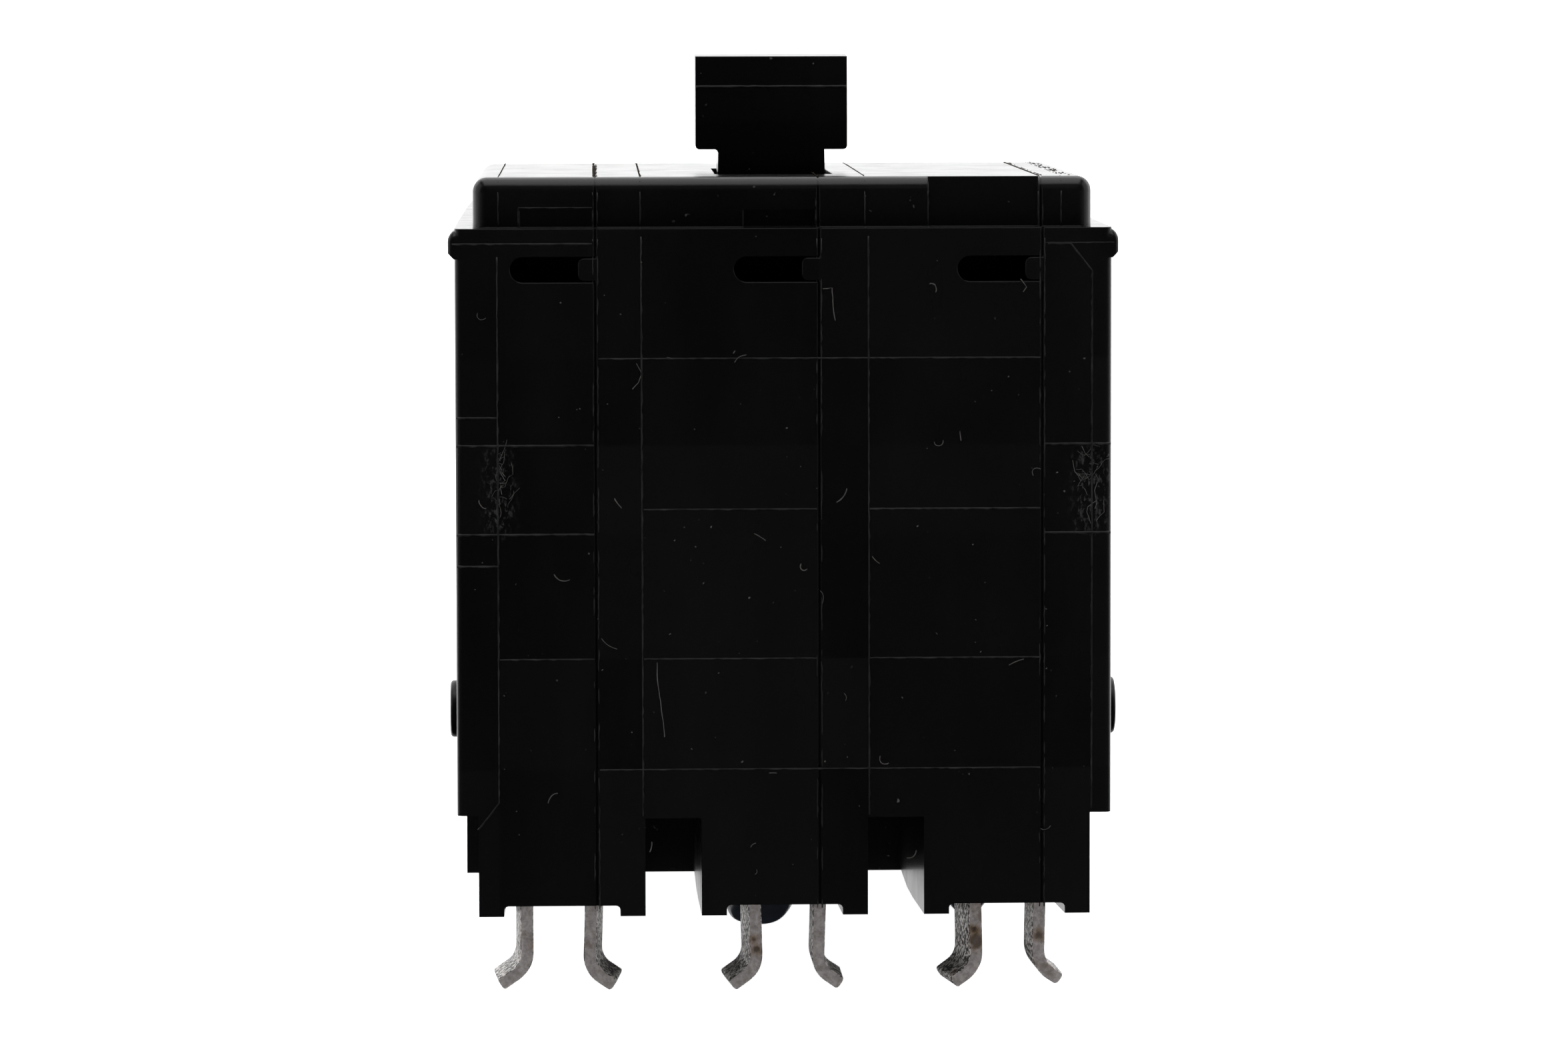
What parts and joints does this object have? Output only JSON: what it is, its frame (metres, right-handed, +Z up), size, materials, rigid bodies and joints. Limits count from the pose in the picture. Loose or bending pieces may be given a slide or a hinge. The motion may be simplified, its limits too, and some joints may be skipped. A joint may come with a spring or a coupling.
{
  "type": "molded case breaker",
  "caption": "Plug-on molded case breaker for a panelboard: a riveted black case with a T handle, flared line jaws below and screw lugs at the load end.",
  "frame": {"origin": "below the middle of the case, in the plane of the jaw tips and the rail foot", "axes": "+X across the poles, -Y the line end with the jaws, +Y the load end, +Z up to the handle"},
  "size_m": [0.0572, 0.0792, 0.0805],
  "materials": {
    "case_moulding": "black thermoset moulding, satin with fine flow marks",
    "handle_moulding": "black thermoset moulding, satin",
    "tin_plate": "tin-plated copper, dull, tarnished brown in places",
    "copper": "bare copper, rolled",
    "silver_contact": "silver alloy, matte",
    "dark_steel": "blackened steel rivets",
    "zinc_steel": "zinc-plated steel",
    "lug_aluminium": "tin-plated aluminium",
    "flag_red": "red plastic",
    "window_clear": "clear plastic lens",
    "trip_bar_plastic": "brown insulating plastic",
    "seal_compound": "blue-black sealing compound, glossy"
  },
  "bodies": {
    "case": {"end_base": "case_moulding", "mid_base_left": "case_moulding", "mid_base_right": "case_moulding", "end_cover": "case_moulding", "case_rivets": "dark_steel", "trip_window": "window_clear", "arm_pins": "zinc_steel", "cradle_pins": "zinc_steel", "calibration_screws": "zinc_steel", "seal_drops": "seal_compound", "line_jaw_1": "tin_plate", "line_jaw_2": "tin_plate", "line_jaw_3": "tin_plate", "fixed_contact_1": "silver_contact", "fixed_contact_2": "silver_contact", "fixed_contact_3": "silver_contact", "arc_plates_1": "zinc_steel", "arc_plates_2": "zinc_steel", "arc_plates_3": "zinc_steel", "bimetal_1": "zinc_steel", "bimetal_2": "zinc_steel", "bimetal_3": "zinc_steel", "magnet_yoke_1": "zinc_steel", "magnet_yoke_2": "zinc_steel", "magnet_yoke_3": "zinc_steel", "load_strap_1": "copper", "load_strap_2": "copper", "load_strap_3": "copper", "box_lug_1": "lug_aluminium", "box_lug_2": "lug_aluminium", "box_lug_3": "lug_aluminium", "flex_braid_1": "copper", "flex_braid_2": "copper", "flex_braid_3": "copper", "main_spring_1": "zinc_steel", "main_spring_2": "zinc_steel", "main_spring_3": "zinc_steel"},
    "handle": {"handle": "handle_moulding", "handle_shaft": "zinc_steel", "handle_crank_left": "handle_moulding", "handle_crank_right": "handle_moulding"},
    "trip_bar": {"trip_bar": "trip_bar_plastic"},
    "trip_flag": {"trip_flag": "flag_red"},
    "contact_arm_1": {"contact_arm_1": "copper", "moving_contact_1": "silver_contact"},
    "cradle_1": {"cradle_1": "zinc_steel"},
    "armature_1": {"armature_1": "zinc_steel"},
    "terminal_screw_1": {"terminal_screw_1": "zinc_steel"},
    "contact_arm_2": {"contact_arm_2": "copper", "moving_contact_2": "silver_contact"},
    "cradle_2": {"cradle_2": "zinc_steel"},
    "armature_2": {"armature_2": "zinc_steel"},
    "terminal_screw_2": {"terminal_screw_2": "zinc_steel"},
    "contact_arm_3": {"contact_arm_3": "copper", "moving_contact_3": "silver_contact"},
    "cradle_3": {"cradle_3": "zinc_steel"},
    "armature_3": {"armature_3": "zinc_steel"},
    "terminal_screw_3": {"terminal_screw_3": "zinc_steel"}
  },
  "joints": [
    {"name": "handle_swing", "type": "hinge", "parent": "case", "child": "handle", "pos_m": [-0.00055, -0.0205, 0.0531], "axis": [1, 0, 0], "range_deg": [-16, 16]},
    {"name": "contact_arm_1_swing", "type": "hinge", "parent": "case", "child": "contact_arm_1", "pos_m": [-0.01905, -0.015, 0.0426], "axis": [1, 0, 0], "range_deg": [-12, 12], "deforming": ["main_spring_1", "flex_braid_1"]},
    {"name": "contact_arm_2_swing", "type": "hinge", "parent": "case", "child": "contact_arm_2", "pos_m": [0, -0.015, 0.0426], "axis": [1, 0, 0], "range_deg": [-12, 12], "deforming": ["main_spring_2", "flex_braid_2"]},
    {"name": "contact_arm_3_swing", "type": "hinge", "parent": "case", "child": "contact_arm_3", "pos_m": [0.01905, -0.015, 0.0426], "axis": [1, 0, 0], "range_deg": [-12, 12], "deforming": ["main_spring_3", "flex_braid_3"]},
    {"name": "cradle_2_trip", "type": "hinge", "parent": "case", "child": "cradle_2", "pos_m": [0, 0.012, 0.0386], "axis": [1, 0, 0], "range_deg": [-18, 0]},
    {"name": "cradle_1_trip", "type": "hinge", "parent": "case", "child": "cradle_1", "pos_m": [-0.01905, 0.012, 0.0386], "axis": [1, 0, 0], "range_deg": [-18.01, 0]},
    {"name": "cradle_3_trip", "type": "hinge", "parent": "case", "child": "cradle_3", "pos_m": [0.01905, 0.012, 0.0386], "axis": [1, 0, 0], "range_deg": [-18.01, 0]},
    {"name": "trip_flag_slide", "type": "slide", "parent": "case", "child": "trip_flag", "axis": [0, -1, 0], "range_m": [0, 0.0045]},
    {"name": "trip_bar_turn", "type": "hinge", "parent": "case", "child": "trip_bar", "pos_m": [0, 0.0015, 0.0266], "axis": [1, 0, 0], "range_deg": [0, 6], "stiffness_Nm_per_rad": 0.02},
    {"name": "armature_1_swing", "type": "hinge", "parent": "case", "child": "armature_1", "pos_m": [-0.01905, -0.004, 0.0196], "axis": [1, 0, 0], "range_deg": [0, 6.01]},
    {"name": "terminal_screw_1_clamp", "type": "slide", "parent": "case", "child": "terminal_screw_1", "axis": [0, 0, -1], "range_m": [0, 0.004]},
    {"name": "armature_2_swing", "type": "hinge", "parent": "case", "child": "armature_2", "pos_m": [0, -0.004, 0.0196], "axis": [1, 0, 0], "range_deg": [0, 6.01]},
    {"name": "terminal_screw_2_clamp", "type": "slide", "parent": "case", "child": "terminal_screw_2", "axis": [0, 0, -1], "range_m": [0, 0.004]},
    {"name": "armature_3_swing", "type": "hinge", "parent": "case", "child": "armature_3", "pos_m": [0.01905, -0.004, 0.0196], "axis": [1, 0, 0], "range_deg": [0, 6.01]},
    {"name": "terminal_screw_3_clamp", "type": "slide", "parent": "case", "child": "terminal_screw_3", "axis": [0, 0, -1], "range_m": [0, 0.004]}
  ],
  "couplings": [
    {"joint": "contact_arm_1_swing", "follows": "handle_swing", "ratio": -0.75},
    {"joint": "contact_arm_2_swing", "follows": "handle_swing", "ratio": -0.75},
    {"joint": "contact_arm_3_swing", "follows": "handle_swing", "ratio": -0.75},
    {"joint": "cradle_1_trip", "follows": "cradle_2_trip", "ratio": 1},
    {"joint": "cradle_3_trip", "follows": "cradle_2_trip", "ratio": 1},
    {"joint": "trip_flag_slide", "follows": "cradle_2_trip", "m_per_rad": -0.014006},
    {"joint": "armature_1_swing", "follows": "trip_bar_turn", "ratio": 1},
    {"joint": "armature_2_swing", "follows": "trip_bar_turn", "ratio": 1},
    {"joint": "armature_3_swing", "follows": "trip_bar_turn", "ratio": 1}
  ]
}
